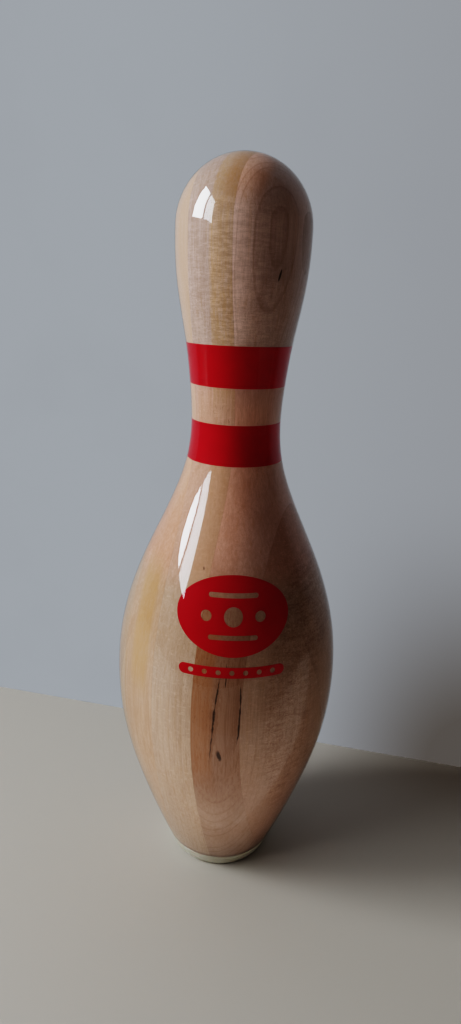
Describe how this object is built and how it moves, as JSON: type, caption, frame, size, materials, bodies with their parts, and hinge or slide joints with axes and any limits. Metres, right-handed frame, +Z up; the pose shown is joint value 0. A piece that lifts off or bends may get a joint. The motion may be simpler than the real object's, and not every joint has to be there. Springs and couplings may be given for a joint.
{
  "type": "bowling pin",
  "caption": "Turned laminated-wood bowling pin under a clear coat: rounded head, narrow neck with red bands, full belly with a plain badge, and a flat plastic base ring.",
  "frame": {"origin": "centre of the base, on the plane that the pin stands on", "axes": "+Z up along the pin's axis, -Y towards the badge, +X to the badge's right as seen from its front"},
  "size_m": [0.1212, 0.1212, 0.381],
  "materials": {
    "maple_light": "pale straight-grained hard maple, turned and sanded",
    "maple_mid": "mid-toned hard maple with fine curl and ray fleck, turned and sanded",
    "maple_dark": "golden-brown hard maple with mineral streaks, turned and sanded",
    "print_red": "opaque red print under the clear coat",
    "clear_coat": "clear glossy plastic coat, slightly ambered, with fine scuffs",
    "nylon": "off-white nylon, satin, scuffed",
    "nail_steel": "plain steel nail"
  },
  "bodies": {
    "root": {"belly_slab_left": "maple_light", "core_board_left": "maple_light", "core_board_centre": "maple_mid", "core_board_right": "maple_dark", "belly_slab_right": "maple_mid", "neck_stripe_upper": "print_red", "neck_stripe_lower": "print_red", "badge": "print_red", "badge_bar": "print_red", "clear_coat": "clear_coat", "base_ring": "nylon", "base_nail_1": "nail_steel", "base_nail_2": "nail_steel", "base_nail_3": "nail_steel", "base_nail_4": "nail_steel"}
  },
  "joints": []
}
